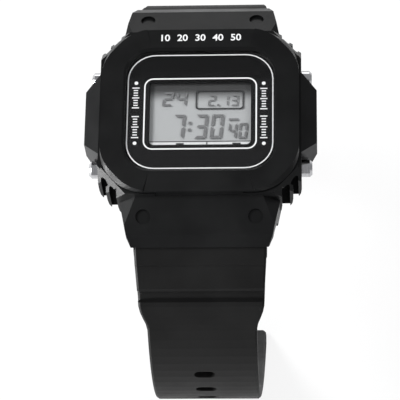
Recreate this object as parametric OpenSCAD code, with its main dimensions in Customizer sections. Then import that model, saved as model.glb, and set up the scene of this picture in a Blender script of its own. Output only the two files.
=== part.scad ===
// Sports watch, lying open: resin case with an octagonal bezel, four push buttons, flat window over a
// liquid crystal display, quartz movement, and a two-part resin strap with a pin buckle.
// Millimetres. X towards 3 o'clock, Y towards 12 o'clock, Z out of the dial.
// z = 0 is the outer face of the case back.

/* [Case] */
// overall width across the side guards
guard_w = 42.8; // [42:0.2:45]
// width of the raised octagonal plate
plate_w = 36.3; // [35.9:0.1:36.7]
// length of the raised octagonal plate
plate_l = 33.2; // [33:0.1:34.2]
// height from the case back to the bezel face
case_h = 13.4; // [13.4:0.2:15]
// length of each shoulder along its gentle slope
shoulder_s = 6.9; // [6.5:0.1:7.5]
// gentle slope of the shoulders in degrees
shoulder_a = 22; // [20:0.5:24]
// length of the steep end of each shoulder
steep_s = 2.6; // [2.3:0.1:2.9]
// slope of that steep end in degrees
steep_a = 49; // [46:1:52]
// diameter of the shoulder dimples
dimple_d = 2.7; // [2:0.1:3]
// depth of the shoulder dimples
dimple_depth = 0.55; // [0.3:0.05:0.8]
// width of each corner slot
slot_w = 1.5; // [1.2:0.05:1.6]
// depth of each corner slot
slot_depth = 1.3; // [0.8:0.1:1.5]

/* [Display] */
// width of the opening in the face plate
window_w = 18.8; // [16:0.1:20]
// length of the opening in the face plate
window_l = 13.3; // [11:0.1:14]
// shift of that opening towards 6 o'clock
window_shift = 0.45; // [0:0.05:0.6]
// thickness of the crystal
crystal_t = 0.9; // [0.8:0.05:1.1]
// width of the display glass
lcd_w = 22; // [21:0.5:22.5]
// length of the display glass
lcd_l = 17; // [16:0.5:17.5]

/* [Movement] */
// diameter of the battery
battery_d = 20; // [16:0.5:20]
// thickness of the battery
battery_t = 1.6; // [1.2:0.1:1.8]
// diameter of the buzzer disc
buzzer_d = 16; // [15.5:0.5:16]

/* [Buttons] */
// diameter of the button heads
button_d = 3.2; // [3:0.1:3.4]
// diameter of the button stems
stem_d = 1.1; // [1:0.05:1.2]
// travel of a button
button_travel = 0.8; // [0.5:0.05:0.8]
// how far the button heads stay inside the guards
button_inset = 0.9; // [0.7:0.1:1.3]

/* [Strap] */
// width of the strap at the case
strap_w = 24.2; // [24:0.1:24.8]
// width of the strap at its free end
tip_w = 19.7; // [18:0.1:20]
// thickness of the strap
strap_t = 2.9; // [2.5:0.1:3]
// length of the nearly straight end of the long half
lower_run = 64; // [58:1:80]
// length of the nearly straight end of the short half
upper_run = 32; // [30:1:40]
// radius of the moulded curve where both halves start
lower_r = 33.5; // [29:0.5:38]
// radius of the middle of the short half
upper_r = 90; // [80:1:110]
// number of adjusting slots
hole_n = 11; // [7:1:11]
// distance between adjusting slots
hole_pitch = 6.5; // [6:0.1:6.8]
// width of an adjusting slot across the strap
hole_w = 4; // [3.4:0.1:4.4]
// length of an adjusting slot along the strap
hole_l = 2.1; // [1.9:0.1:2.4]
// diameter of the spring bars
bar_d = 1.5; // [1.4:0.1:1.7]
// slope of the long half where it leaves the case, in degrees
strap_a = 31; // [29:0.5:33]
// how much steeper the short half leaves the case, in degrees
upper_drop = 13.5; // [12:0.5:18]

/* [Buckle] */
// length of the buckle frame
buckle_l = 13; // [12:0.5:16]
// diameter of the buckle bar
pin_d = 1.6; // [1.5:0.1:1.8]
// thickness of the buckle wire
wire_d = 2.2; // [2:0.1:2.6]

/* [Clearances] */
// radial clearance of a turning or sliding shaft
run_fit = 0.05; // [0.03:0.01:0.08]
// gap between pieces that move past each other
gap = 0.25; // [0.2:0.05:0.3]

/* [Hidden] */
$fn = 48;

// heights, from the back upwards
back_t = 0.9;
cover_z0 = 3.2;
guard_top = case_h - 3.8;
guard_z = case_h - 1.4;
shoulder_z = case_h - 2.45;
lip_t = 0.45;
crystal_top = case_h - lip_t - 0.05;
crystal_z0 = crystal_top - crystal_t;
face_t = 0.4;
face_z0 = crystal_z0 - face_t;
lcd_t = 1.4;
lcd_z0 = face_z0 - lcd_t;
strip_t = 1.5;
board_t = 0.8;
board_z0 = lcd_z0 - strip_t - board_t;
chip_t = 0.85;
can_d = 1.2;
film_t = 0.12;
battery_z0 = board_z0 - max(chip_t, can_d) - 0.15 - film_t - battery_t;
clip_t = 0.3;
cushion_z0 = back_t + 0.3;
frame_z0 = cushion_z0 + 0.6 * (battery_z0 - clip_t - cushion_z0);
button_z = board_z0 - 1.15;

// plan sizes
plate_cut_x = 12.4;
plate_cut_y = 10;
plate_r = 8;
plate_turn = atan2(plate_w / 2 - plate_cut_x, plate_l / 2 - plate_cut_y);
plate_reach = plate_w / 2 * cos(plate_turn) + plate_cut_y * sin(plate_turn);
flare = 0.7;
case_hw = plate_w / 2 - 1.55;
case_hl = plate_l / 2 - 1.2;
crystal_hw = case_hw - 2.45;
crystal_hl = case_hl - 2.9;
crystal_r = 5.5;
cavity_hw = case_hw - 3.1;
cavity_hl = case_hl - 3.4;
cavity_r = 5.8;
seat_hw = case_hw - 2.3;
seat_hl = case_hl - 2.6;
seat_r = 6.4;
stair_x = [18.55, 17, 15];
stair_y = [13.3, 15.2];
slot_top = case_h - 2.1;
button_y = 9.2;
shoulder_hw = 14.75;
lug_x = [7.8, 10.6];
rib_t = 0.6;
knuckle_r = 3;
rim_t = 0.45;

// a shoulder starts at the plate, turns steep at the knee and ends over the spring bar
shoulder_y = plate_l / 2;
knee_y = shoulder_y + shoulder_s * cos(shoulder_a);
knee_z = shoulder_z - shoulder_s * sin(shoulder_a);
end_y = knee_y + steep_s * cos(steep_a);
end_z = knee_z - steep_s * sin(steep_a);
axis_y = end_y - (knuckle_r + gap + rim_t) * sin(40);
axis_z = end_z - (knuckle_r + gap + rim_t) * cos(40);

// ---------------------------------------------------------------- outlines

// corner points of an octagonal outline, counter-clockwise from the right side
function octagon(hx, hy, cx, cy) = [[hx, -cy], [hx, cy], [cx, hy], [-cx, hy],
    [-hx, cy], [-hx, -cy], [-cx, -hy], [cx, -hy]];

function unit(v) = v / norm(v);

// each corner of a convex outline replaced by an arc of radius r
function soften(p, r, n) = [for (i = [0:len(p) - 1])
    let (a = p[(i + len(p) - 1) % len(p)], b = p[i], c = p[(i + 1) % len(p)],
        u = unit(a - b), v = unit(c - b), half = acos(u * v) / 2,
        m = b + unit(u + v) * r / sin(half), start = b + u * r / tan(half) - m,
        sweep = 180 - 2 * half)
    for (k = [0:n])
        let (t = sweep * k / n)
        m + [start.x * cos(t) - start.y * sin(t), start.x * sin(t) + start.y * cos(t)]];

// body between two outlines of equally many points
module loft(low, z0, high, z1) {
    n = len(low);
    pts = concat([for (p = low) [p.x, p.y, z0]], [for (p = high) [p.x, p.y, z1]]);
    sides = [for (i = [0:n - 1]) [i, n + i, n + (i + 1) % n, (i + 1) % n]];
    polyhedron(pts, concat([[for (i = [0:n - 1]) i]], [[for (i = [n - 1:-1:0]) n + i]], sides));
}

// rectangle with round corners
module rounded(hx, hy, r) {
    square([2 * (hx - r), 2 * hy], center = true);
    square([2 * hx, 2 * (hy - r)], center = true);
    for (x = [-1, 1], y = [-1, 1])
        translate([x * (hx - r), y * (hy - r)])
            circle(r);
}

module block(hx, hy, r, z0, z1) {
    translate([0, 0, z0])
        linear_extrude(z1 - z0)
            rounded(hx, hy, r);
}

// ring between two rounded outlines
module frame_ring(hx, hy, r, wall, z0, z1) {
    difference() {
        block(hx, hy, r, z0, z1);
        block(hx - wall, hy - wall, r - wall, z0 - 1, z1 + 1);
    }
}

// profile drawn as (Y, Z) and drawn out along X from x0 to x1
module along_x(x0, x1) {
    translate([x0, 0, 0])
        rotate([90, 0, 90])
            linear_extrude(x1 - x0)
                children();
}

// profile drawn as (X, Z) and drawn out along Y from y0 to y1
module along_y(y0, y1) {
    translate([0, y1, 0])
        rotate([90, 0, 0])
            linear_extrude(y1 - y0)
                children();
}

// rod along X
module rod_x(x0, x1, d) {
    translate([x0, 0, 0])
        rotate([0, 90, 0])
            cylinder(d = d, h = x1 - x0);
}

module quarters() {
    for (x = [0, 1], y = [0, 1])
        mirror([x, 0, 0])
            mirror([0, y, 0])
                children();
}

// coil spring of round wire along Z
module coil(r, wire, turns, h, steps = 12, sides = 6) {
    n = turns * steps;
    pts = [for (i = [0:n])
        let (a = 360 * i / steps, z = wire / 2 + (h - wire) * i / n)
        for (k = [0:sides - 1])
            let (b = 360 * k / sides, q = r + wire / 2 * cos(b))
            [q * cos(a), q * sin(a), z + wire / 2 * sin(b)]];
    walls = [for (i = [0:n - 1], k = [0:sides - 1])
        let (a = i * sides + k, b = i * sides + (k + 1) % sides)
        [a, b, b + sides, a + sides]];
    polyhedron(pts, concat([[for (k = [0:sides - 1]) k]],
        [[for (k = [sides - 1:-1:0]) n * sides + k]], walls));
}

// ---------------------------------------------------------------- case

function rect(hx, hy) = [[hx, -hy], [hx, hy], [-hx, hy], [-hx, -hy]];

case_cut_x = 10.9;
case_cut_y = 8.6;
module case_outline(grow = 0) {
    polygon(octagon(case_hw + grow, case_hl + grow, case_cut_x + grow / 2, case_cut_y + grow / 2));
}

// slope surfaces that follow a shoulder: Y runs down the slope, Z out of it
module on_slope() {
    translate([0, shoulder_y, shoulder_z])
        rotate([-shoulder_a, 0, 0])
            children();
}

// side view of a lug, grown for its channel in the cover
module lug_side(grow = 0) {
    translate([axis_y, axis_z])
        circle(r = 2.1 + grow);
    polygon([[case_hl - 0.6, 1.6 - grow], [axis_y - 0.4, axis_z - 2.05 - grow],
        [axis_y, axis_z + 1.7 + grow], [case_hl - 0.6, axis_z + 2 + grow]]);
}

// side guard with its sloped top and angled ends
module guard() {
    half = guard_w / 2;
    intersection() {
        translate([0, 0, cover_z0])
            linear_extrude(case_h)
                polygon([[10, 0], [half, 0], [half, 5.4], [stair_x[0] - 0.1, 8.3], [10, 8.3]]);
        along_y(-1, 12)
            polygon([[10, cover_z0], [half - 1, cover_z0], [half, cover_z0 + 1.8], [half, guard_top],
                [plate_w / 2 - 0.2, guard_z], [10, guard_z]]);
    }
}

// one step of a corner out to x and y, its lower edge rounded inwards
module stair(x, y, top) {
    along_y(0, y)
        polygon([[8, cover_z0], [x - 0.9, cover_z0], [x - 0.45, cover_z0 + 0.6],
            [x - 0.15, cover_z0 + 1.6], [x, cover_z0 + 3.4], [x, top], [8, top]]);
}

// stepped corner under a steep flare that rises to the plate, with one slot in each step
module corner() {
    top = case_h - 1.15;
    lean = 56;
    difference() {
        union() {
            stair(stair_x[0], stair_y[0], top);
            stair(stair_x[1], stair_y[1], top);
            stair(stair_x[2], shoulder_y, top);
        }
        rotate(plate_turn)
            translate([plate_reach + flare, -30, top])
                rotate([0, lean, 0])
                    cube([12, 60, 6]);
        translate([0, 0, guard_z])
            linear_extrude(3)
                polygon([[plate_w / 2 - 0.2, -1], [25, -1], [25, 20], [plate_w / 2 - 0.2, 20]]);
        for (k = [0, 1])
            translate([stair_x[k] - rib_t - slot_w / 2, 0, 0])
                along_y(stair_y[k] - slot_depth, stair_y[k] + 1) {
                    translate([0, slot_top - slot_w / 2])
                        circle(d = slot_w);
                    translate([-slot_w / 2, cover_z0 - 1])
                        square([slot_w, slot_top - slot_w / 2 - cover_z0 + 1]);
                }
    }
}

// sloped shoulder between the plate and the strap
module shoulder(facet_x) {
    difference() {
        intersection() {
            translate([0, 0, cover_z0])
                linear_extrude(case_h)
                    polygon([[-shoulder_hw, shoulder_y - 3], [shoulder_hw, shoulder_y - 3],
                        [shoulder_hw, shoulder_y - 0.6], [shoulder_hw - 1.4, knee_y],
                        [shoulder_hw - 2.4, end_y + 0.3], [2.4 - shoulder_hw, end_y + 0.3],
                        [1.4 - shoulder_hw, knee_y], [-shoulder_hw, shoulder_y - 0.6]]);
            along_x(-20, 20)
                polygon([[shoulder_y - 3, cover_z0], [axis_y - 1, cover_z0],
                    [axis_y - 1, axis_z], [end_y, end_z], [knee_y, knee_z], [shoulder_y, shoulder_z],
                    [shoulder_y - 3, shoulder_z + 3 * tan(shoulder_a)]]);
        }
        on_slope()
            for (side = [0, 1])
                mirror([side, 0, 0])
                    translate([facet_x, 0, 0])
                        rotate([0, 0, -21])
                            rotate([0, 42, 0])
                                translate([0, -10, 0])
                                    cube([10, 20, 6]);
    }
}

module bezel_cover() {
    opening_low = soften(rect(crystal_hw - 0.35, crystal_hl - 0.4), crystal_r - 0.4, 6);
    opening_high = soften(rect(crystal_hw + 0.05, crystal_hl + 0.2), crystal_r, 6);
    half = [plate_w / 2, plate_l / 2];
    grow = [flare / cos(plate_turn), flare / sin(plate_turn)];
    plate_high = soften(octagon(half.x, half.y, plate_cut_x, plate_cut_y), plate_r, 8);
    plate_low = soften(octagon(half.x, half.y, plate_cut_x + grow.x, plate_cut_y + grow.y),
        plate_r, 8);
    neck = soften(octagon(half.x - 0.2, half.y - 0.2, plate_cut_x, plate_cut_y), plate_r, 8);
    color([0.09, 0.09, 0.1])
        difference() {
            union() {
                loft(plate_low, case_h - 0.8, plate_high, case_h);
                translate([0, 0, cover_z0])
                    linear_extrude(case_h - 0.7 - cover_z0)
                        polygon(neck);
                quarters() {
                    guard();
                    corner();
                }
                for (side = [0, 1])
                    mirror([0, side, 0])
                        shoulder(side == 0 ? 12.6 : 11.6);
            }
            translate([0, 0, cover_z0 - 1])
                linear_extrude(case_h - lip_t - cover_z0 + 1)
                    case_outline(0.05);
            loft(opening_low, case_h - lip_t - 0.1, opening_low, case_h - lip_t + 0.05);
            loft(opening_low, case_h - lip_t + 0.05, opening_high, case_h + 0.02);
            for (side = [0, 1])
                mirror([0, side, 0]) {
                    intersection() {
                        along_x(-12, 12)
                            polygon([[crystal_hl + 0.5, case_h], [plate_l / 2 + 1, case_h - 0.42],
                                [plate_l / 2 + 1, case_h + 1], [crystal_hl + 0.5, case_h + 1]]);
                        linear_extrude(case_h + 2)
                            polygon([[-9, crystal_hl], [9, crystal_hl],
                                [10.6, plate_l / 2 + 2], [-10.6, plate_l / 2 + 2]]);
                    }
                    translate([0, axis_y, axis_z])
                        rod_x(-20, 20, 2 * (knuckle_r + gap));
                    on_slope()
                        for (x = [-10.2, 10.2])
                            translate([x, shoulder_s * (side == 0 ? 0.64 : 0.53), -dimple_depth])
                                cylinder(d = dimple_d, h = 3);
                    for (x = [0, 1])
                        mirror([x, 0, 0])
                            along_x(lug_x[0] - 0.1, lug_x[1] + 0.1) {
                                lug_side(0.1);
                                polygon([[case_hl - 0.6, 0], [axis_y, 0], [axis_y, axis_z],
                                    [case_hl - 0.6, axis_z]]);
                            }
                }
            quarters()
                translate([0, button_y, button_z]) {
                    rod_x(case_hw - 2.4, guard_w, button_d + 0.3);
                    rod_x(stair_x[0] - 0.6, guard_w, button_d + 1);
                }
        }
}

tube_out = case_hw + 0.3;
tube_in = cavity_hw - 0.2;
tube_d = 1.9;
seal_x = case_hw - 1.35;
seal_d = 1.7;
screw_x = case_hw - 1.2;
screw_y = 6.5;

module case_middle() {
    color([0.13, 0.13, 0.14])
        difference() {
            union() {
                translate([0, 0, back_t])
                    linear_extrude(crystal_top - back_t)
                        case_outline();
                quarters()
                    along_x(lug_x[0], lug_x[1])
                        lug_side();
            }
            block(cavity_hw, cavity_hl, cavity_r, back_t - 1, face_z0);
            block(crystal_hw + 0.1, crystal_hl + 0.1, crystal_r + 0.1, face_z0, crystal_top + 1);
            frame_ring(seat_hw, seat_hl, seat_r, 0.55, back_t - 1, back_t + 0.5);
            quarters() {
                translate([0, button_y, button_z]) {
                    rod_x(tube_in, case_hw + 1, tube_d);
                    rod_x(tube_in - 3, tube_in, 3);
                }
                translate([0, axis_y, axis_z])
                    rod_x(lug_x[0] - 1, lug_x[1] - 0.7, 0.9);
                translate([screw_x, screw_y, back_t - 1])
                    cylinder(d = 1.1, h = 4.5);
            }
        }
}

module crystal() {
    color([0.75, 0.8, 0.82, 0.35])
        block(crystal_hw, crystal_hl, crystal_r, crystal_z0, crystal_top);
}

module crystal_gasket() {
    color([0.2, 0.2, 0.2])
        frame_ring(crystal_hw + 0.05, crystal_hl + 0.05, crystal_r, 0.45, face_z0, crystal_z0);
}

module face_plate() {
    color([0.08, 0.08, 0.09])
        difference() {
            block(crystal_hw - 0.5, crystal_hl - 0.45, crystal_r - 0.5, face_z0, crystal_z0);
            translate([-window_w / 2, -window_l / 2 - window_shift, face_z0 - 1])
                cube([window_w, window_l, 3]);
        }
}

// ---------------------------------------------------------------- movement

module lcd_panel() {
    color([0.62, 0.65, 0.6])
        translate([-lcd_w / 2, -lcd_l / 2, lcd_z0])
            cube([lcd_w, lcd_l, lcd_t]);
}

module connector_strips() {
    color([0.25, 0.25, 0.27])
        for (side = [0, 1])
            mirror([0, side, 0])
                translate([-lcd_w / 2 + 1, lcd_l / 2 - 1.6, lcd_z0 - strip_t])
                    cube([lcd_w - 2, 1.4, strip_t]);
}

module backlight_panel() {
    color([0.92, 0.94, 0.95])
        translate([-lcd_w / 2 + 1, -lcd_l / 2 + 1.8, lcd_z0 - 0.9])
            cube([lcd_w - 2, lcd_l - 3.6, 0.9]);
}

module backlight_led() {
    color([0.95, 0.95, 0.7])
        translate([lcd_w / 2 - 2.2, -0.8, lcd_z0 - strip_t])
            cube([1.2, 1.6, strip_t - 0.9]);
}

board_hw = cavity_hw - 2;
board_hl = cavity_hl - 1.6;
leaf_x = tube_in - button_travel - 1;
buzzer_y = [cavity_hw - buzzer_d / 2 - 0.5, cavity_hl - buzzer_d / 2 - 0.8];
contact = [board_hw - 1.1, board_hl - 2.1];

module module_frame() {
    color([0.16, 0.16, 0.17])
        difference() {
            block(cavity_hw - 0.2, cavity_hl - 0.2, cavity_r - 0.2, frame_z0, face_z0);
            block(board_hw + 0.1, board_hl + 0.1, 3.6, frame_z0 - 1, board_z0 + board_t);
            translate([0, 0, frame_z0 - 1])
                cylinder(d = battery_d + 0.2, h = battery_z0 + battery_t + film_t + 0.1 - frame_z0 + 1);
            translate([-lcd_w / 2 - 0.1, -lcd_l / 2 - 0.1, board_z0 + board_t - 1])
                cube([lcd_w + 0.2, lcd_l + 0.2, 9]);
            quarters()
                translate([leaf_x - 1, button_y - 1.5, button_z - 1.5])
                    cube([6, 4, board_z0 + board_t - button_z + 1.5]);
        }
}

module circuit_board() {
    color([0.1, 0.35, 0.2])
        block(board_hw, board_hl, 3.5, board_z0, board_z0 + board_t);
}

module chip() {
    color([0.07, 0.07, 0.07])
        translate([-4, -3, board_z0 - chip_t])
            cube([7, 7, chip_t]);
}

module quartz_crystal() {
    color([0.8, 0.8, 0.82])
        translate([0, board_hl - 2.8, board_z0 - can_d / 2])
            rod_x(-3, 3, can_d);
}

module capacitors() {
    color([0.6, 0.45, 0.3])
        for (p = [[6, 4], [6, 1.6], [6, -0.8], [-7, 3], [-7, 0.5]])
            translate([p.x, p.y, board_z0 - 0.6])
                cube([1.2, 0.7, 0.6]);
}

module battery() {
    color([0.8, 0.8, 0.8])
        translate([0, 0, battery_z0]) {
            cylinder(d = battery_d, h = battery_t - 0.3);
            cylinder(d = battery_d - 2.4, h = battery_t);
        }
}

module battery_insulator() {
    color([0.75, 0.6, 0.2])
        translate([0, 0, battery_z0 + battery_t])
            cylinder(d = battery_d - 1, h = film_t);
}

module battery_clip() {
    z = battery_z0 - clip_t;
    color([0.8, 0.8, 0.82])
        translate([0, 0, z])
            linear_extrude(clip_t)
                difference() {
                    union() {
                        square([2 * board_hw, 5], center = true);
                        square([5, 2 * board_hl], center = true);
                        circle(d = 13);
                    }
                    circle(d = 6);
                }
}

module buzzer_disc() {
    color([0.85, 0.7, 0.35])
        translate([buzzer_y.x, buzzer_y.y, back_t])
            cylinder(d = buzzer_d, h = 0.25);
}

module buzzer_spring() {
    color([0.85, 0.75, 0.45])
        translate([contact.x, contact.y, back_t + 0.25])
            coil(0.5, 0.18, 8, board_z0 - back_t - 0.25);
}

module module_cushion() {
    color([0.22, 0.22, 0.22])
        difference() {
            block(cavity_hw - 0.6, cavity_hl - 0.6, cavity_r - 0.6, cushion_z0, frame_z0);
            translate([contact.x, contact.y, 0])
                cylinder(d = 1.8, h = 9);
        }
}

// ---------------------------------------------------------------- back

module case_back() {
    color([0.78, 0.78, 0.8])
        difference() {
            linear_extrude(back_t)
                case_outline(-0.15);
            quarters()
                translate([screw_x, screw_y, -1]) {
                    cylinder(d = 1.2, h = 4);
                    cylinder(d = 1.7, h = 1.5);
                }
        }
}

module case_back_gasket() {
    color([0.15, 0.15, 0.15])
        frame_ring(seat_hw - 0.05, seat_hl - 0.05, seat_r - 0.05, 0.45, back_t, back_t + 0.45);
}

module case_back_screws() {
    color([0.7, 0.7, 0.72])
        quarters()
            translate([screw_x, screw_y, 0]) {
                difference() {
                    translate([0, 0, 0.05])
                        cylinder(d = 1.6, h = 0.45);
                    for (turn = [0, 90])
                        rotate(turn)
                            translate([-0.5, -0.12, -0.1])
                                cube([1, 0.24, 0.35]);
                }
                cylinder(d = 1.1, h = 4.3);
            }
}

// ---------------------------------------------------------------- buttons

// heads end a set distance inside the guards, but always stand out far enough to be pressed
cup_x = case_hw + 0.2 + button_travel;
button_x = max(guard_w / 2 - button_inset, cup_x + 2.2);
clip_x = tube_in - 0.05 - 0.5;

// local frame of a button: X outwards from the case axis, corner chosen by the signs
module at_button(right, top) {
    mirror([1 - right, 0, 0])
        translate([0, (2 * top - 1) * button_y, button_z])
            children();
}

module push_button(right, top) {
    color([0.82, 0.82, 0.84])
        at_button(right, top)
            difference() {
                union() {
                    rod_x(cup_x, button_x - 0.45, button_d);
                    translate([button_x - 0.45, 0, 0])
                        rotate([0, 90, 0])
                            cylinder(d1 = button_d, d2 = button_d - 0.9, h = 0.45);
                    rod_x(clip_x - 0.25, button_x - 0.5, stem_d);
                }
                difference() {
                    rod_x(cup_x - 1, button_x - 1, 2.2);
                    rod_x(cup_x - 2, button_x, stem_d);
                }
                difference() {
                    rod_x(clip_x, clip_x + 0.5, stem_d + 1);
                    rod_x(clip_x - 1, clip_x + 1, 0.7);
                }
            }
}

module stem_clip(right, top) {
    color([0.7, 0.7, 0.72])
        at_button(right, top)
            difference() {
                rod_x(clip_x + 0.05, clip_x + 0.45, 2);
                rod_x(clip_x - 1, clip_x + 1, 0.74);
            }
}

module return_spring(right, top) {
    color([0.75, 0.75, 0.77])
        at_button(right, top)
            translate([tube_out, 0, 0])
                rotate([0, 90, 0])
                    coil(0.83, 0.18, 5, button_x - 1 - tube_out);
}

module light_button() { push_button(0, 1); }
module mode_button() { push_button(0, 0); }
module start_button() { push_button(1, 0); }
module reset_button() { push_button(1, 1); }
module light_clip() { stem_clip(0, 1); }
module mode_clip() { stem_clip(0, 0); }
module start_clip() { stem_clip(1, 0); }
module reset_clip() { stem_clip(1, 1); }
module light_spring() { return_spring(0, 1); }
module mode_spring() { return_spring(0, 0); }
module start_spring() { return_spring(1, 0); }
module reset_spring() { return_spring(1, 1); }

module push_tubes() {
    color([0.75, 0.75, 0.77])
        quarters()
            translate([0, button_y, button_z])
                difference() {
                    rod_x(tube_in, tube_out, tube_d);
                    rod_x(tube_in - 1, tube_out + 1, stem_d + 2 * run_fit);
                    rod_x(seal_x, seal_x + 0.6, seal_d);
                }
}

module button_seals() {
    color([0.1, 0.1, 0.1])
        quarters()
            translate([0, button_y, button_z])
                difference() {
                    rod_x(seal_x + 0.02, seal_x + 0.58, seal_d);
                    rod_x(seal_x - 1, seal_x + 1, stem_d + 2 * run_fit);
                }
}

module switch_springs() {
    color([0.85, 0.72, 0.4])
        quarters()
            translate([leaf_x, button_y - 0.6, 0]) {
                translate([-0.15, 0, button_z - 0.7])
                    cube([0.15, 1.2, board_z0 - button_z + 0.7]);
                translate([-1.2, 0, board_z0 - 0.15])
                    cube([1.2, 1.2, 0.15]);
            }
}

// ---------------------------------------------------------------- strap

lead = 1.4;

// point and direction of the strap's outer face at a distance u beyond the spring bar;
// each run is [length, radius], radius 0 means straight
function strap_at(u, runs, i = 0, y = axis_y + knuckle_r * sin(strap_a),
        z = axis_z + knuckle_r * cos(strap_a), a = strap_a) =
    let (last = i == len(runs) - 1, d = last ? u : min(u, runs[i][0]), r = runs[i][1],
        b = r == 0 ? a : a + d / r * 180 / PI,
        y1 = y + (r == 0 ? d * cos(a) : r * (sin(b) - sin(a))),
        z1 = z + (r == 0 ? -d * sin(a) : r * (cos(b) - cos(a))))
    last || u <= runs[i][0] ? [y1, z1, b] : strap_at(u - runs[i][0], runs, i + 1, y1, z1, b);

// strap section at one station: half width, drop of the outer face, thickness, edge bevel
function strap_section(p, half, drop, t, bevel) =
    [for (q = [[half - bevel, -drop], [half, -drop - bevel * 0.7], [half, -t + 0.4], [half - 0.4, -t],
        [0.4 - half, -t], [-half, -t + 0.4], [-half, -drop - bevel * 0.7], [bevel - half, -drop]])
        [q[0], p[0] + q[1] * sin(p[2]), p[1] + q[1] * cos(p[2])]];

// body through a row of stations, each [u, half width, drop, thickness]
module strap_body(stations, runs, bevel = 0.4) {
    n = len(stations);
    pts = [for (s = stations) each strap_section(strap_at(s[0], runs), s[1], s[2], s[3], bevel)];
    walls = [for (i = [0:n - 2], k = [0:7])
        let (a = i * 8 + k, b = i * 8 + (k + 1) % 8)
        [a, b, b + 8, a + 8]];
    polyhedron(pts, concat([[for (k = [7:-1:0]) k]], [[for (k = [0:7]) (n - 1) * 8 + k]],
        [for (w = walls) [w[3], w[2], w[1], w[0]]]));
}

// frame on the strap's outer face at distance u: Y along the strap, Z outwards
module on_strap(u, runs) {
    p = strap_at(u, runs);
    translate([0, p[0], p[1]])
        rotate([-p[2], 0, 0])
            children();
}

// relief next to the case, shared by both halves: a step, a rib and a deep cross groove
head_w = strap_w / 2;
collar = [
    [0, head_w, 0, 5.2],
    [4, head_w - 0.15, 0, 4.4],
    [4.15, head_w - 0.15, 0.25, 4.4],
    [8.5, head_w - 0.4, 0.25, 3.6],
    [9.1, head_w - 0.42, 0.5, 3.5],
    [9.25, head_w - 0.42, 1.2, 3.5],
    [11.15, head_w - 0.5, 1.2, 3.3],
    [11.35, head_w - 0.5, 0.55, strap_t],
    [12.1, head_w - 0.55, 0.3, strap_t],
    [13.4, head_w - 0.8, 0.3, strap_t],
    [14.7, head_w - 1.25, 0.3, strap_t],
    [16, head_w - 1.75, 0.3, strap_t],
    [17.4, head_w - 2, 0.3, strap_t]];

// the end that turns on the spring bar, with room for the two lugs
module strap_end() {
    translate([0, axis_y, axis_z])
        rod_x(-head_w, head_w, 2 * knuckle_r);
}

module strap_end_cuts(swing) {
    translate([0, axis_y, axis_z]) {
        rod_x(-head_w - 1, head_w + 1, bar_d + 2 * run_fit);
        for (x = [0, 1])
            mirror([x, 0, 0])
                along_x(lug_x[0] - gap, lug_x[1] + gap) {
                    circle(r = 2.1 + gap);
                    polygon(concat([[0, 0]], [for (t = [125:15:250 + swing]) 8 * [cos(t), sin(t)]],
                        [8 * [cos(250 + swing), sin(250 + swing)]]));
                }
    }
}

lower_arc = 46.6;
lower_runs = [[lead, 0], [lower_arc, lower_r], [lower_run, 170]];
lower_end = lead + lower_arc + lower_run;
tip_half = tip_w / 2;

// plain part of a half: stations every pitch from one end of the taper to the other
function plain(from, to, n, half0, half1) =
    [for (k = [1:n]) [from + (to - from) * k / n, half0 + (half1 - half0) * k / n, 0.3, strap_t]];

lower_stations = concat(collar,
    plain(17.4, lead + lower_arc, 14, head_w - 2, tip_half + 0.15),
    plain(lead + lower_arc, lower_end - 3, 9, tip_half + 0.15, tip_half),
    [[lower_end - 0.9, tip_half - 0.15, 0.35, strap_t],
    [lower_end - 0.3, tip_half - 0.5, 0.45, strap_t - 0.1],
    [lower_end, tip_half - 1.1, 0.7, strap_t - 0.3]]);

module lower_strap() {
    first_hole = 29.8;
    color([0.1, 0.1, 0.11])
        mirror([0, 1, 0])
            difference() {
                union() {
                    strap_body(lower_stations, lower_runs);
                    strap_end();
                }
                strap_end_cuts(30);
                for (k = [0:hole_n - 1])
                    on_strap(first_hole + k * hole_pitch, lower_runs)
                        translate([0, 0, -strap_t - 1]) {
                            translate([-(hole_w - hole_l) / 2, -hole_l / 2, 0])
                                cube([hole_w - hole_l, hole_l, strap_t + 2]);
                            for (x = [-1, 1])
                                translate([x * (hole_w - hole_l) / 2, 0, 0])
                                    cylinder(d = hole_l, h = strap_t + 2);
                        }
            }
}

upper_start = 17;
upper_arc = 25;
upper_runs = [[lead, 0], [upper_start, lower_r], [upper_arc, upper_r], [upper_run, 0]];
upper_end = lead + upper_start + upper_arc + upper_run;
upper_half = head_w - 2.1;
pin_r = 1.9;
upper_stations = concat(collar,
    plain(17.4, upper_end - upper_run, 10, head_w - 2, upper_half),
    plain(upper_end - upper_run, upper_end, 1, upper_half, upper_half));

// turns the short half about its spring bar to its steeper rest position
module hang() {
    translate([0, axis_y, axis_z])
        rotate([-upper_drop, 0, 0])
            translate([0, -axis_y, -axis_z])
                children();
}

// frame of the buckle bar: Y along the strap, Z outwards
module at_pin() {
    hang()
        on_strap(upper_end, upper_runs)
            translate([0, pin_r - 0.4, -strap_t / 2 - 0.15])
                children();
}

module upper_strap() {
    color([0.1, 0.1, 0.11])
        difference() {
            union() {
                hang()
                    strap_body(upper_stations, upper_runs);
                hang()
                    strap_end();
                at_pin()
                    rod_x(-upper_half + 0.9, upper_half - 0.9, 2 * pin_r);
            }
            hang()
                strap_end_cuts(upper_drop + 20);
            at_pin() {
                rod_x(-20, 20, pin_d + 2 * run_fit);
                translate([-1.5, -4, -5])
                    cube([3, 12, 10]);
                for (x = [0, 1])
                    mirror([x, 0, 0])
                        translate([upper_half - 0.9, -2.6, -5])
                            cube([9, 10, 10]);
            }
        }
}

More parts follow.
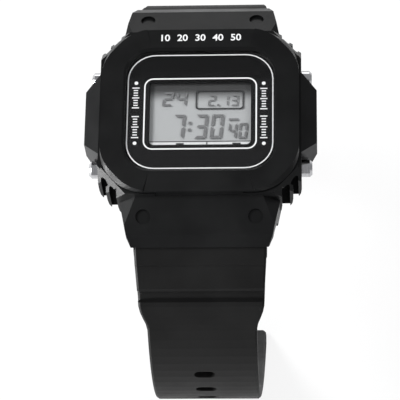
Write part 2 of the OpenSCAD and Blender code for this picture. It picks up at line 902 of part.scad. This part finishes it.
module spring_bar() {
    translate([0, axis_y, axis_z])
        difference() {
            union() {
                rod_x(0.1 - lug_x[0], lug_x[0] - 0.1, bar_d);
                rod_x(0.9 - lug_x[1], lug_x[1] - 0.9, 0.8);
            }
            for (x = [0, 1])
                mirror([x, 0, 0])
                    difference() {
                        rod_x(lug_x[0] - 0.9, lug_x[0] - 0.6, bar_d + 1);
                        rod_x(lug_x[0] - 2, lug_x[0], bar_d - 0.3);
                    }
        }
}

module upper_spring_bar() {
    color([0.75, 0.75, 0.77])
        spring_bar();
}

module lower_spring_bar() {
    color([0.75, 0.75, 0.77])
        mirror([0, 1, 0])
            spring_bar();
}

keeper_u = upper_end - upper_run + 12;
keeper_l = 6;
module keeper_loop() {
    hx = upper_half + gap;
    top = strap_t + 0.5;
    color([0.1, 0.1, 0.11])
        hang()
            on_strap(keeper_u, upper_runs)
                along_y(-keeper_l / 2, keeper_l / 2)
                    difference() {
                        translate([0, (top - strap_t - gap) / 2])
                            rounded(hx + 1.1, (top + strap_t + gap) / 2 + 1.1, 1.2);
                        translate([0, (top - strap_t - gap) / 2])
                            square([2 * hx, top + strap_t + gap], center = true);
                    }
}

// ---------------------------------------------------------------- buckle

arm_x = upper_half - 0.9 + gap;
module buckle_frame() {
    color([0.8, 0.8, 0.82])
        at_pin()
            difference() {
                union() {
                    translate([0, 0, -0.9])
                        linear_extrude(1.8)
                            difference() {
                                translate([0, buckle_l / 2 - 0.9])
                                    rounded(arm_x + wire_d, buckle_l / 2 + 0.9, 2.4);
                                translate([-arm_x, -4])
                                    square([2 * arm_x, buckle_l - wire_d + 4]);
                            }
                    translate([0, buckle_l - wire_d / 2, 0])
                        rod_x(-arm_x - 0.5, arm_x + 0.5, wire_d);
                }
                rod_x(-arm_x - wire_d + 0.5, arm_x + wire_d - 0.5, pin_d);
            }
}

module buckle_bar() {
    color([0.7, 0.7, 0.72])
        at_pin()
            rod_x(-arm_x - wire_d + 0.5, arm_x + wire_d - 0.5, pin_d);
}

module buckle_tongue() {
    over = wire_d / 2 + 0.08;
    color([0.8, 0.8, 0.82])
        at_pin()
            along_x(-0.95, 0.95)
                difference() {
                    union() {
                        circle(d = pin_d + 1.5);
                        polygon([[0.9, -0.5], [2.6, over], [buckle_l + 0.2, over],
                            [buckle_l + 0.2, over + 0.5], [buckle_l - 1, over + 0.9],
                            [1.5, over + 0.9], [0.1, 1.3]]);
                    }
                    circle(d = pin_d + 2 * run_fit);
                }
}

bezel_cover();
case_middle();
crystal();
crystal_gasket();
face_plate();
lcd_panel();
backlight_panel();
backlight_led();
connector_strips();
module_frame();
circuit_board();
chip();
quartz_crystal();
capacitors();
battery();
battery_insulator();
battery_clip();
buzzer_disc();
buzzer_spring();
module_cushion();
case_back();
case_back_gasket();
case_back_screws();
push_tubes();
button_seals();
light_button();
mode_button();
start_button();
reset_button();
light_clip();
mode_clip();
start_clip();
reset_clip();
light_spring();
mode_spring();
start_spring();
reset_spring();
switch_springs();
upper_spring_bar();
lower_spring_bar();
upper_strap();
lower_strap();
keeper_loop();
buckle_frame();
buckle_bar();
buckle_tongue();
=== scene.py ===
"""Looks for the sports watch: camera, light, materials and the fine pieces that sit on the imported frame.

Everything is in the frame of the CAD: X towards 3 o'clock, Y towards 12 o'clock and Z out of the dial.
Lengths are in metres; the flat pieces are written in mm and multiplied by MM.
"""

import math

import bpy
import bmesh
from mathutils import Matrix, Vector


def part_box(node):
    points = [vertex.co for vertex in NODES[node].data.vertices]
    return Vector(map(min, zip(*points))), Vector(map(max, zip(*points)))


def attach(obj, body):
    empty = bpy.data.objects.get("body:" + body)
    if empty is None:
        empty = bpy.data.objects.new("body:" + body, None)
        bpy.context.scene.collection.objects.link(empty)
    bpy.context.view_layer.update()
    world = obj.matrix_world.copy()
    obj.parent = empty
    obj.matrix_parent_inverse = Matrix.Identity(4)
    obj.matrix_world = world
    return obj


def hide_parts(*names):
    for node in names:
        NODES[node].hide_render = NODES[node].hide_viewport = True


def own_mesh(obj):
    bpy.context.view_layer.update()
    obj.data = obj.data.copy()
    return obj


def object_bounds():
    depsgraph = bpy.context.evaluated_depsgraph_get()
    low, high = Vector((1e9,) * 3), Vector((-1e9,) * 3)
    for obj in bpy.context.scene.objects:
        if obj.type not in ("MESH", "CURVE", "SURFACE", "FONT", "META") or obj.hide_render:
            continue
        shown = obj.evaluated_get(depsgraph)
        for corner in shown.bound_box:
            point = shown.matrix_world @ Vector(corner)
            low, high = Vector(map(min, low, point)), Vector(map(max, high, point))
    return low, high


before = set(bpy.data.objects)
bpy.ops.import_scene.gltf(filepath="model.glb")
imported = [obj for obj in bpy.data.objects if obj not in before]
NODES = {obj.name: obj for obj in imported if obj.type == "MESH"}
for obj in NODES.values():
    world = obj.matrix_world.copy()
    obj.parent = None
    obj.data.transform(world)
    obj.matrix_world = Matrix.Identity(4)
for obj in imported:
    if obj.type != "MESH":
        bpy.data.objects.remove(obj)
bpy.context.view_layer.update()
MM = 0.001
MOULD_RADIUS = 0.22 * MM

# Thickness of printed lines and of display layers, in mm
PRINT_T = 0.02
INK_T = 0.03

scene = bpy.context.scene
scene.view_settings.view_transform = "Standard"


# Camera

def make_camera():
    """Camera at the photograph's place: it looks down on the dial from the 6 o'clock side.

    The focal length, half the frame's side and the row that the optical axis meets are in pixels.
    """
    aim = Vector((0, 0, 12 * MM))
    distance = 0.411
    back = Vector((0.0519761, -0.4537913, 0.8895881))
    up = Vector((0.0099961, 0.8909867, 0.4539193))
    focal = 2240.0
    half_side = 200.0
    axis_row = 111.6
    place = aim + back * distance
    forward = (-back * focal - up * (half_side - axis_row)).normalized()
    up = (up - forward * up.dot(forward)).normalized()
    right = forward.cross(up)
    data = bpy.data.cameras.new("camera")
    data.sensor_width = 36.0
    data.lens = focal / (2 * half_side) * data.sensor_width
    data.clip_start, data.clip_end = 0.01, 10.0
    cam = bpy.data.objects.new("camera", data)
    cam.matrix_world = Matrix((
        (right.x, up.x, -forward.x, place.x),
        (right.y, up.y, -forward.y, place.y),
        (right.z, up.z, -forward.z, place.z),
        (0, 0, 0, 1)))
    scene.collection.objects.link(cam)
    scene.camera = cam


# Materials

class Shader:
    """Small helper round a material's node tree with one Principled shader."""

    def __init__(self, name):
        self.mat = bpy.data.materials.new(name)
        self.mat.use_nodes = True
        self.tree = self.mat.node_tree
        self.bsdf = self.tree.nodes["Principled BSDF"]
        self.coords = self.tree.nodes.new("ShaderNodeTexCoord")

    def node(self, kind, **values):
        n = self.tree.nodes.new(kind)
        for key, value in values.items():
            if key in n.inputs:
                n.inputs[key].default_value = value
            else:
                setattr(n, key, value)
        return n

    def link(self, a, out, b, into):
        self.tree.links.new(a.outputs[out], b.inputs[into])

    def set(self, **values):
        for key, value in values.items():
            self.bsdf.inputs[key.replace("_", " ")].default_value = value
        return self

    def noise(self, scale, detail=3.0, rough=0.55, stretch=(1, 1, 1)):
        place = self.node("ShaderNodeMapping")
        place.inputs["Scale"].default_value = stretch
        self.link(self.coords, "Object", place, "Vector")
        n = self.node("ShaderNodeTexNoise", Scale=scale, Detail=detail, Roughness=rough)
        self.link(place, "Vector", n, "Vector")
        return n

    def ramp(self, source, out, low, high, start=0.3, end=0.7):
        r = self.node("ShaderNodeValToRGB")
        r.color_ramp.elements[0].position, r.color_ramp.elements[1].position = start, end
        r.color_ramp.elements[0].color, r.color_ramp.elements[1].color = low, high
        self.link(source, out, r, "Fac")
        return r

    def colour(self, source, low, high, start=0.3, end=0.7):
        r = self.ramp(source, "Fac", (*low, 1), (*high, 1), start, end)
        self.link(r, "Color", self.bsdf, "Base Color")

    def rough(self, source, low, high):
        m = self.node("ShaderNodeMapRange")
        m.inputs["From Min"].default_value, m.inputs["From Max"].default_value = 0.3, 0.7
        m.inputs["To Min"].default_value, m.inputs["To Max"].default_value = low, high
        self.link(source, "Fac", m, "Value")
        self.link(m, "Result", self.bsdf, "Roughness")

    def bump(self, sources):
        """Chains bumps given as (height source, output, strength, distance)."""
        last = None
        for source, out, strength, distance in sources:
            b = self.node("ShaderNodeBump", Strength=strength, Distance=distance)
            self.link(source, out, b, "Height")
            if last:
                self.link(last, "Normal", b, "Normal")
            last = b
        self.link(last, "Normal", self.bsdf, "Normal")


def resin(name, dark, light, low, high, grain, strength, shine):
    """Moulded resin: a fine even grain and slow changes of tone."""
    s = Shader(name)
    cloud = s.noise(120, 4)
    fine = s.noise(grain, 2, 0.6)
    s.colour(cloud, dark, light)
    s.rough(cloud, low, high)
    s.bump([(fine, "Fac", strength, 0.00004), (cloud, "Fac", 0.05, 0.0002)])
    return s.set(Specular_IOR_Level=shine).mat


def metal(name, dark, light, low, high, stretch, strength=0.15):
    """Steel or brass with brush marks along one direction."""
    s = Shader(name)
    marks = s.noise(900, 4, 0.7, stretch)
    cloud = s.noise(300, 3)
    s.colour(marks, dark, light)
    s.rough(cloud, low, high)
    s.bump([(marks, "Fac", strength, 0.00002)])
    return s.set(Metallic=1.0).mat


def plain(name, dark, light, low, high, scale, bump, **more):
    """Printed or moulded surface with a fine mottle of tone, roughness and height."""
    s = Shader(name)
    n = s.noise(scale, 4)
    s.colour(n, dark, light)
    s.rough(n, low, high)
    s.bump([(n, "Fac", bump, 0.00005)])
    return s.set(**more).mat


def reflector(name, dark_y, light_y, dark, light):
    """Grey display ground with a painted shade towards 12 o'clock, where the edge of the window above it
    shades it; heights in mm.
    """
    s = Shader(name)
    split = s.node("ShaderNodeSeparateXYZ")
    s.link(s.coords, "Object", split, "Vector")
    # Painted shade: the ground turns dark above dark_y, as the shadow of the window's edge
    painted_shade = s.node("ShaderNodeMapRange", interpolation_type="SMOOTHSTEP")
    painted_shade.inputs["From Min"].default_value = dark_y * MM
    painted_shade.inputs["From Max"].default_value = light_y * MM
    s.link(split, "Y", painted_shade, "Value")
    grain = s.noise(6000, 4)
    mottle = 0.16
    shift = s.node("ShaderNodeMath", operation="MULTIPLY_ADD")
    shift.inputs[1].default_value = mottle
    shift.inputs[2].default_value = -mottle / 2
    s.link(grain, "Fac", shift, 0)
    total = s.node("ShaderNodeMath", operation="ADD")
    s.link(painted_shade, "Result", total, 0)
    s.link(shift, "Value", total, 1)
    ramp = s.ramp(total, "Value", (*dark, 1), (*light, 1), 0.0, 1.0)
    s.link(ramp, "Color", s.bsdf, "Base Color")
    s.rough(grain, 0.6, 0.75)
    s.bump([(grain, "Fac", 0.15, 0.00004)])
    return s.set(Specular_IOR_Level=0.2).mat


def clear(name, tint, ior, rough):
    """Clear pane: what lies behind shows through, under a reflection that grows towards grazing angles.

    It grows alike on both faces, because the rays go straight through the pane.
    """
    mat = bpy.data.materials.new(name)
    mat.use_nodes = True
    tree = mat.node_tree
    tree.nodes.clear()
    out = tree.nodes.new("ShaderNodeOutputMaterial")
    mix = tree.nodes.new("ShaderNodeMixShader")
    facing = tree.nodes.new("ShaderNodeLayerWeight")
    power = tree.nodes.new("ShaderNodeMath")
    share = tree.nodes.new("ShaderNodeMath")
    through = tree.nodes.new("ShaderNodeBsdfTransparent")
    gloss = tree.nodes.new("ShaderNodeBsdfGlossy")
    noise = tree.nodes.new("ShaderNodeTexNoise")
    spread = tree.nodes.new("ShaderNodeMapRange")
    head_on = ((ior - 1) / (ior + 1)) ** 2
    facing.inputs["Blend"].default_value = 0.5
    power.operation, share.operation = "POWER", "MULTIPLY_ADD"
    power.inputs[1].default_value = 5.0
    share.inputs[1].default_value = 1 - head_on
    share.inputs[2].default_value = head_on
    tree.links.new(facing.outputs["Facing"], power.inputs[0])
    tree.links.new(power.outputs["Value"], share.inputs[0])
    through.inputs["Color"].default_value = (*tint, 1)
    noise.inputs["Scale"].default_value = 200
    spread.inputs["To Min"].default_value = rough
    spread.inputs["To Max"].default_value = rough * 2
    tree.links.new(noise.outputs["Fac"], spread.inputs["Value"])
    tree.links.new(spread.outputs["Result"], gloss.inputs["Roughness"])
    tree.links.new(share.outputs["Value"], mix.inputs["Fac"])
    tree.links.new(through.outputs["BSDF"], mix.inputs[1])
    tree.links.new(gloss.outputs["BSDF"], mix.inputs[2])
    tree.links.new(mix.outputs["Shader"], out.inputs["Surface"])
    return mat


# After its name a row of resin, metal or plain gives its dark and light tone, then its range of roughness
MAT = {
    "bezel": resin("bezel_resin", (0.0042, 0.0043, 0.0045), (0.0068, 0.007, 0.0072),
                   0.3, 0.4, 9000, 0.25, 0.12),
    "strap": resin("strap_resin", (0.0042, 0.0042, 0.0042), (0.0068, 0.0068, 0.0068),
                   0.5, 0.62, 6000, 0.4, 0.11),
    "case": resin("case_resin", (0.006, 0.006, 0.0063), (0.009, 0.009, 0.0095), 0.5, 0.6, 7000, 0.4, 0.2),
    "seal": plain("seal_rubber", (0.012, 0.012, 0.012), (0.022, 0.022, 0.022), 0.7, 0.85, 3000, 0.3),
    # The slot floors are darker and duller than the bezel: painted shade in the recesses
    "slot": resin("slot_painted_shade", (0.003, 0.003, 0.0032), (0.005, 0.005, 0.0052), 0.75, 0.9, 7000, 0.3, 0.02),
    "steel": metal("brushed_steel", (0.42, 0.42, 0.43), (0.58, 0.58, 0.6), 0.24, 0.34, (1, 12, 1), 0.05),
    "button": metal("button_steel", (0.36, 0.36, 0.37), (0.56, 0.56, 0.57), 0.1, 0.2, (8, 1, 1), 0.08),
    "brass": metal("plated_brass", (0.5, 0.36, 0.12), (0.75, 0.58, 0.26), 0.2, 0.35, (6, 1, 1)),
    "face": plain("face_print", (0.004, 0.004, 0.0045), (0.0065, 0.0065, 0.007), 0.4, 0.5, 1500, 0.05,
                  Specular_IOR_Level=0.15),
    "white": plain("white_print", (0.76, 0.765, 0.77), (0.84, 0.84, 0.84), 0.5, 0.65, 5000, 0.1,
                   Specular_IOR_Level=0.2),
    "ink": plain("segment_ink", (0.155, 0.155, 0.16), (0.195, 0.195, 0.2), 0.5, 0.6, 3000, 0.02,
                 Specular_IOR_Level=0.1),
    "dark_ink": plain("line_ink", (0.035, 0.035, 0.037), (0.055, 0.055, 0.057), 0.5, 0.6, 3000, 0.02,
                      Specular_IOR_Level=0.1),
    # The ground's dark end is painted shade from the window's edge, towards 12 o'clock
    "reflector": reflector("grey_reflector", 5.4, 2.3, (0.05, 0.05, 0.051), (0.41, 0.415, 0.423)),
    # The pale strip at the display's lower edge is a painted reflection of the glass edge
    "edge": plain("display_edge_glint", (0.66, 0.66, 0.67), (0.74, 0.74, 0.75), 0.4, 0.5, 2000, 0.05,
                  Specular_IOR_Level=0.2),
    "board": plain("green_board", (0.01, 0.07, 0.03), (0.02, 0.12, 0.05), 0.3, 0.45, 700, 0.15),
    "chip": plain("chip_resin", (0.01, 0.01, 0.01), (0.02, 0.02, 0.02), 0.5, 0.65, 2500, 0.2),
    "film": plain("amber_film", (0.25, 0.13, 0.02), (0.4, 0.24, 0.05), 0.25, 0.35, 500, 0.05),
    "light": plain("light_guide", (0.75, 0.77, 0.78), (0.85, 0.87, 0.88), 0.3, 0.4, 800, 0.05),
    "crystal": clear("clear_crystal", (0.993, 0.995, 0.995), 1.22, 0.02),
    "pane": clear("clear_pane", (0.99, 0.993, 0.99), 1.1, 0.05),
}

NODE_LOOKS = {
    "bezel": ["bezel_cover"],
    "strap": ["upper_strap", "lower_strap", "keeper_loop"],
    "case": ["case_middle", "module_frame"],
    "seal": ["crystal_gasket", "connector_strips", "module_cushion", "case_back_gasket", "button_seals"],
    "face": ["face_plate"],
    "crystal": ["crystal"],
    "pane": ["lcd_panel"],
    "light": ["backlight_panel", "backlight_led"],
    "board": ["circuit_board"],
    "chip": ["chip", "capacitors"],
    "film": ["battery_insulator"],
    "brass": ["buzzer_disc", "buzzer_spring", "switch_springs"],
    "button": ["light_button", "mode_button", "start_button", "reset_button"],
}


def paint(obj, mat):
    obj.data.materials.clear()
    obj.data.materials.append(mat)


def soften(obj, width, angle, segments):
    """Rounds the edges of a CAD node that turn by more than angle degrees."""
    mod = obj.modifiers.new("edge", "BEVEL")
    mod.width, mod.segments = width, segments
    mod.limit_method, mod.angle_limit = "ANGLE", math.radians(angle)
    mod.use_clamp_overlap, mod.harden_normals = True, False


def dress_nodes():
    """Gives every CAD node its finish; what NODE_LOOKS doesn't list is steel."""
    look_of = {n: look for look, names in NODE_LOOKS.items() for n in names}
    for name, obj in NODES.items():
        paint(obj, MAT[look_of.get(name, "steel")])


def make_return_springs():
    """Copies of the four return springs on the case, each with a mesh of its own; the real springs shorten
    towards their walls as the buttons go in.
    """
    for name in ("light", "mode", "start", "reset"):
        coil = bpy.data.objects.new(name + "_coil", NODES[name + "_spring"].data.copy())
        scene.collection.objects.link(coil)
        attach(coil, "case")
        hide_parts(name + "_spring")
        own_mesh(coil)


# Display and face

def add_piece(bm, name, look):
    """Turns a closed bmesh into a piece on the case with outward faces and one finish."""
    bmesh.ops.recalc_face_normals(bm, faces=list(bm.faces))
    mesh = bpy.data.meshes.new(name)
    bm.to_mesh(mesh)
    bm.free()
    obj = bpy.data.objects.new(name, mesh)
    scene.collection.objects.link(obj)
    paint(obj, MAT[look])
    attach(obj, "case")


def flat_mesh(name, outlines, z, thick, look):
    """One thin piece of closed outlines in mm, standing on height z."""
    bm = bmesh.new()
    for outline in outlines:
        bm.faces.new([bm.verts.new((x * MM, y * MM, z * MM)) for x, y in outline])
    bmesh.ops.remove_doubles(bm, verts=bm.verts, dist=0.001 * MM)
    bm.normal_update()
    down = [f for f in bm.faces if f.normal.z < 0]
    bmesh.ops.reverse_faces(bm, faces=down)
    extruded = bmesh.ops.extrude_face_region(bm, geom=list(bm.faces))
    top = [v for v in extruded["geom"] if isinstance(v, bmesh.types.BMVert)]
    bmesh.ops.translate(bm, verts=top, vec=(0, 0, thick * MM))
    add_piece(bm, name, look)


def arc_rect(hx, hy, r, cx=0.0, cy=0.0, steps=8):
    """Counter-clockwise points of a rectangle of half sizes hx and hy with corner radius r about cx, cy."""
    pts = []
    for k, (sx, sy) in enumerate(((1, 1), (-1, 1), (-1, -1), (1, -1))):
        for i in range(steps + 1):
            a = math.radians(90 * (k + i / steps))
            pts.append((cx + sx * (hx - r) + r * math.cos(a), cy + sy * (hy - r) + r * math.sin(a)))
    return pts


def band(outer, inner):
    """Quads between two outlines of equally many points."""
    n = len(outer)
    return [[outer[i], outer[(i + 1) % n], inner[(i + 1) % n], inner[i]] for i in range(n)]


# The bars of each numeral that the display shows, by the usual letters of a seven-segment numeral
SEGMENTS = {"0": "abcdef", "1": "bc", "2": "abged", "3": "abgcd", "4": "fgbc", "7": "abc"}


def seven(text, x, y, w, h, t, gap, slant):
    """Outlines of slanted seven-segment numerals of width w, height h and bar width t.

    The lower left corner of the first is at x, y, and a gap lies between two numerals.
    """
    half = h / 2
    cut = t * 0.08
    step = t * 0.1
    nip = t * 0.15
    tip = t * 0.6
    bars = {
        "a": [(nip, h), (w - nip, h), (w - t, h - t), (t, h - t)],
        "b": [(w, h - nip), (w, half + step), (w - t + cut, half + t / 2 + cut), (w - t + cut, h - t - cut)],
        "c": [(w, half - step), (w, nip), (w - t + cut, t + cut), (w - t + cut, half - t / 2 - cut)],
        "d": [(nip, 0), (t, t), (w - t, t), (w - nip, 0)],
        "e": [(0, half - step), (t - cut, half - t / 2 - cut), (t - cut, t + cut), (0, nip)],
        "f": [(0, h - nip), (t - cut, h - t - cut), (t - cut, half + t / 2 + cut), (0, half + step)],
        "g": [(tip, half), (t, half + t / 2), (w - t, half + t / 2), (w - tip, half),
              (w - t, half - t / 2), (t, half - t / 2)],
    }
    shapes = []
    for ch in text:
        for seg in SEGMENTS[ch]:
            shapes.append([(x + px + py * slant, y + py) for px, py in bars[seg]])
        x += w + gap
    return shapes


def box_outline(x0, y0, x1, y1):
    return [(x0, y0), (x1, y0), (x1, y1), (x0, y1)]


def printed_numbers(name, numbers, pitch, middle, size, weight, z, fall, start):
    """Plain printed numbers in a row about middle (x, y) in mm, on a plane that falls past y = start."""
    half_thick = PRINT_T / 2
    bm = bmesh.new()
    for k, number in enumerate(numbers):
        text = bpy.data.curves.new(name, "FONT")
        text.body, text.size, text.offset, text.extrude = number, size, weight, half_thick
        text.align_x, text.resolution_u = "CENTER", 4
        holder = bpy.data.objects.new(name, text)
        scene.collection.objects.link(holder)
        graph = bpy.context.evaluated_depsgraph_get()
        shape = bpy.data.meshes.new_from_object(holder.evaluated_get(graph))
        x = middle[0] + pitch * (k - (len(numbers) - 1) / 2)
        shape.transform(Matrix.Translation((x, middle[1], half_thick)))
        bm.from_mesh(shape)
        bpy.data.meshes.remove(shape)
        bpy.data.objects.remove(holder)
    bmesh.ops.remove_doubles(bm, verts=bm.verts, dist=0.001)
    for v in bm.verts:
        v.co = Vector((v.co.x, v.co.y, z + v.co.z - fall * (v.co.y - start))) * MM
    add_piece(bm, name, "white")


def make_face_print():
    """Border lines, dots and ticks printed on the face plate."""
    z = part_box("face_plate")[1][2] / MM
    outer_line = band(arc_rect(13.46, 11.72, 5.2, 0, 0.13), arc_rect(13.24, 11.5, 4.98, 0, 0.13))
    flat_mesh("face_outer_line", outer_line, z, PRINT_T, "white")
    inner_line = band(arc_rect(10.42, 7.33, 1.75, 0.03, -0.36), arc_rect(10.15, 7.06, 1.48, 0.03, -0.36))
    flat_mesh("face_inner_line", inner_line, z, PRINT_T, "white")

    dot_r = 0.35
    turns = [math.radians(a) for a in range(0, 360, 20)]
    dots = []
    for x, y in ((-11.85, 6.0), (-11.87, -6.35), (11.67, 5.72), (11.72, -6.6)):
        dots.append([(x + dot_r * math.cos(a), y + dot_r * math.sin(a)) for a in turns])
    flat_mesh("face_dots", dots, z, PRINT_T, "white")

    steps = 8
    long_every = 4
    long_reach, short_reach, half_tick = 0.66, 0.4, 0.11
    columns = ((-11.9, 0.9, 5.0), (-11.9, -5.2, -0.9), (11.7, 0.45, 4.65), (11.7, -5.45, -1.05))
    ticks = []
    for x, low, high in columns:
        for k in range(steps + 1):
            y = low + (high - low) * k / steps
            reach = short_reach if k % long_every else long_reach
            ticks.append(box_outline(x - reach, y - half_tick, x + reach, y + half_tick))
    flat_mesh("face_ticks", ticks, z, PRINT_T, "white")


def make_panel_scale():
    """Plain scale of numbers on the sunk panel at 12 o'clock, which falls away from the window's edge."""
    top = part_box("bezel_cover")[1][2] / MM
    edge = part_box("crystal")[1][1] / MM + 0.5
    fall = 0.42 / 4.6
    printed_numbers("bezel_scale", ("10", "20", "30", "40", "50"), 3.3, (-0.1, 14.1), 2.0, 0.035,
                    top, fall, edge)


def make_display():
    """Thin layers behind the crystal: grey ground with painted shade, numerals, date box, a dark band round
    the window that is partly printed frame and partly painted shade, and a pale lower edge that is a painted
    reflection.
    """
    z_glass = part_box("lcd_panel")[0][2] / MM
    z_ground = z_glass + 0.45
    z_ink = z_glass + 0.8
    slant = 0.1
    small_slant = 0.06
    # The ground carries painted shade towards 12 o'clock
    flat_mesh("display_ground", [box_outline(-10.4, -8.1, 10.4, 7.6)], z_ground, 0.04, "reflector")

    ink = seven("7", -5.25, -5.05, 2.15, 4.95, 0.58, 0.6, slant)
    colon_dot = ((-1.95, 0), (-1.4, 0), (-1.35, 0.55), (-1.9, 0.55))
    for y in (-3.5, -2.1):
        ink.append([(x + y * slant, y + dy) for x, dy in colon_dot])
    ink += seven("30", -1.15, -5.05, 2.2, 4.95, 0.58, 0.7, slant)
    ink += seven("40", 5.05, -5.1, 1.5, 3.2, 0.42, 0.42, slant)
    ink += seven("24", -7.1, 1.7, 1.9, 2.85, 0.42, 0.6, slant)
    ink.append(box_outline(5.3, -1.4, 7.05, -0.95))
    flat_mesh("display_numerals", ink, z_ink, INK_T, "ink")

    date_box = band(arc_rect(4.45, 1.98, 0.6, 3.55, 2.95), arc_rect(4.2, 1.73, 0.5, 3.55, 2.95))
    flat_mesh("display_date_box", date_box, z_ink, INK_T, "dark_ink")
    date = seven("2", 1.4, 1.65, 1.3, 2.25, 0.26, 0.5, small_slant)
    date.append(box_outline(3.1, 1.65, 3.5, 2.05))
    date += seven("13", 3.8, 1.65, 1.3, 2.25, 0.26, 0.5, small_slant)
    flat_mesh("display_date", date, z_ink, INK_T, "ink")

    # Pale strip along the lower edge: painted reflection of the glass edge
    flat_mesh("display_edge", [box_outline(-9.3, -6.4, 9.3, -5.68)], z_ink - 0.1, INK_T, "edge")
    # Dark band round the window: partly the display's printed black frame, partly painted shade at the
    # window's edge
    frame_and_shade = band(arc_rect(10.2, 7.6, 0.3, 0, 0.3), arc_rect(9.3, 6.62, 0.85, 0, 0.35))
    flat_mesh("display_frame_and_shade", frame_and_shade, z_ink + 0.05, INK_T, "face")
    line_and_marks = ((-9.3, -5.68, 9.3, -5.54), (-4.35, -6.26, -2.95, -5.92),
                      (1.2, -6.3, 1.36, -5.68), (5.95, -6.26, 7.45, -5.92))
    bars = [box_outline(*sides) for sides in line_and_marks]
    flat_mesh("display_bars", bars, z_ink, INK_T, "dark_ink")


def make_slot_floors():
    """Floors of the eight corner slots, shallower towards their open lower ends; their dark colour is
    painted shade.

    The corners of the two steps (x, y) and the floor's profile (y, z) are in mm, as in the part.
    """
    inner_side, outer_side = 2.09, 0.61
    bm = bmesh.new()
    for x, y in ((18.55, 13.3), (17.0, 15.2)):
        profile = ((y - 1.35, 3.7), (y - 0.35, 3.7), (y - 0.45, 4.6), (y - 1.24, 10.4), (y - 1.35, 10.4))
        for side in (1, -1):
            for end in (1, -1):
                rings = [[bm.verts.new((side * px * MM, end * py * MM, pz * MM)) for py, pz in profile]
                         for px in (x - inner_side, x - outer_side)]
                for ring in rings:
                    bm.faces.new(ring)
                for i in range(len(profile)):
                    j = (i + 1) % len(profile)
                    bm.faces.new((rings[0][i], rings[0][j], rings[1][j], rings[1][i]))
    add_piece(bm, "corner_slot_floors", "slot")


# Stage and light

def make_stage():
    """Pale paper floor under the lowest point of the object."""
    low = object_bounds()[0][2]
    mesh = bpy.data.meshes.new("floor")
    size = 3.0
    corners = [(-size, -size, low), (size, -size, low), (size, size, low), (-size, size, low)]
    mesh.from_pydata(corners, [], [(0, 1, 2, 3)])
    floor = bpy.data.objects.new("floor", mesh)
    scene.collection.objects.link(floor)
    mat = bpy.data.materials.new("floor_paper")
    mat.use_nodes = True
    tree = mat.node_tree
    bsdf = tree.nodes["Principled BSDF"]
    bsdf.inputs["Roughness"].default_value = 0.9
    coords = tree.nodes.new("ShaderNodeTexCoord")
    noise = tree.nodes.new("ShaderNodeTexNoise")
    noise.inputs["Scale"].default_value = 30
    ramp = tree.nodes.new("ShaderNodeValToRGB")
    ramp.color_ramp.elements[0].color = (0.84, 0.84, 0.84, 1)
    ramp.color_ramp.elements[1].color = (0.88, 0.88, 0.88, 1)
    tree.links.new(coords.outputs["Object"], noise.inputs["Vector"])
    tree.links.new(noise.outputs["Fac"], ramp.inputs["Fac"])
    tree.links.new(ramp.outputs["Color"], bsdf.inputs["Base Color"])
    # Seen directly or through glass, the paper is mostly a white of its own and keeps part of its shadows
    own_white = 0.8
    path = tree.nodes.new("ShaderNodeLightPath")
    glow = tree.nodes.new("ShaderNodeEmission")
    mix = tree.nodes.new("ShaderNodeMixShader")
    seen = tree.nodes.new("ShaderNodeMath")
    seen.operation = "MAXIMUM"
    share = tree.nodes.new("ShaderNodeMath")
    share.operation = "MULTIPLY"
    share.inputs[1].default_value = own_white
    out = tree.nodes["Material Output"]
    tree.links.new(path.outputs["Is Camera Ray"], seen.inputs[0])
    tree.links.new(path.outputs["Is Transmission Ray"], seen.inputs[1])
    tree.links.new(seen.outputs["Value"], share.inputs[0])
    tree.links.new(share.outputs["Value"], mix.inputs["Fac"])
    tree.links.new(bsdf.outputs["BSDF"], mix.inputs[1])
    tree.links.new(glow.outputs["Emission"], mix.inputs[2])
    tree.links.new(mix.outputs["Shader"], out.inputs["Surface"])
    mesh.materials.append(mat)


def make_world():
    """Soft light from all round, which the camera sees as white."""
    world = bpy.data.worlds.new("studio")
    scene.world = world
    world.use_nodes = True
    tree = world.node_tree
    tree.nodes.clear()
    out = tree.nodes.new("ShaderNodeOutputWorld")
    lit = tree.nodes.new("ShaderNodeBackground")
    shown = tree.nodes.new("ShaderNodeBackground")
    mix = tree.nodes.new("ShaderNodeMixShader")
    path = tree.nodes.new("ShaderNodeLightPath")
    lit.inputs["Color"].default_value = (0.97, 0.98, 1.0, 1)
    lit.inputs["Strength"].default_value = 0.45
    shown.inputs["Color"].default_value = (1, 1, 1, 1)
    shown.inputs["Strength"].default_value = 1.0
    tree.links.new(path.outputs["Is Camera Ray"], mix.inputs["Fac"])
    tree.links.new(lit.outputs["Background"], mix.inputs[1])
    tree.links.new(shown.outputs["Background"], mix.inputs[2])
    tree.links.new(mix.outputs["Shader"], out.inputs["Surface"])


def area_light(name, place, width, height, power):
    """Rectangular lamp that points at the frame's origin."""
    data = bpy.data.lights.new(name, "AREA")
    data.shape, data.size, data.size_y, data.energy = "RECTANGLE", width, height, power
    lamp = bpy.data.objects.new(name, data)
    lamp.location = place
    lamp.rotation_mode = "QUATERNION"
    lamp.rotation_quaternion = (-Vector(place)).to_track_quat("-Z", "Y")
    scene.collection.objects.link(lamp)


def make_lights():
    """Key from the left, a weak fill, a low strip along the left side and a lamp behind 12 o'clock."""
    area_light("key", (-0.5, 0.05, 0.75), 0.3, 0.3, 6.5)
    area_light("fill", (0.45, -0.1, 0.6), 0.3, 0.3, 1.2)
    area_light("left", (-0.8, -0.25, -0.034), 0.9, 0.09, 24.0)
    area_light("back", (-0.04, 0.85, 0.3), 0.4, 0.4, 1.4)


make_camera()
dress_nodes()
make_return_springs()
soften(NODES["bezel_cover"], width=MOULD_RADIUS, angle=35, segments=3)
make_face_print()
make_panel_scale()
make_display()
make_slot_floors()
make_stage()
make_world()
make_lights()
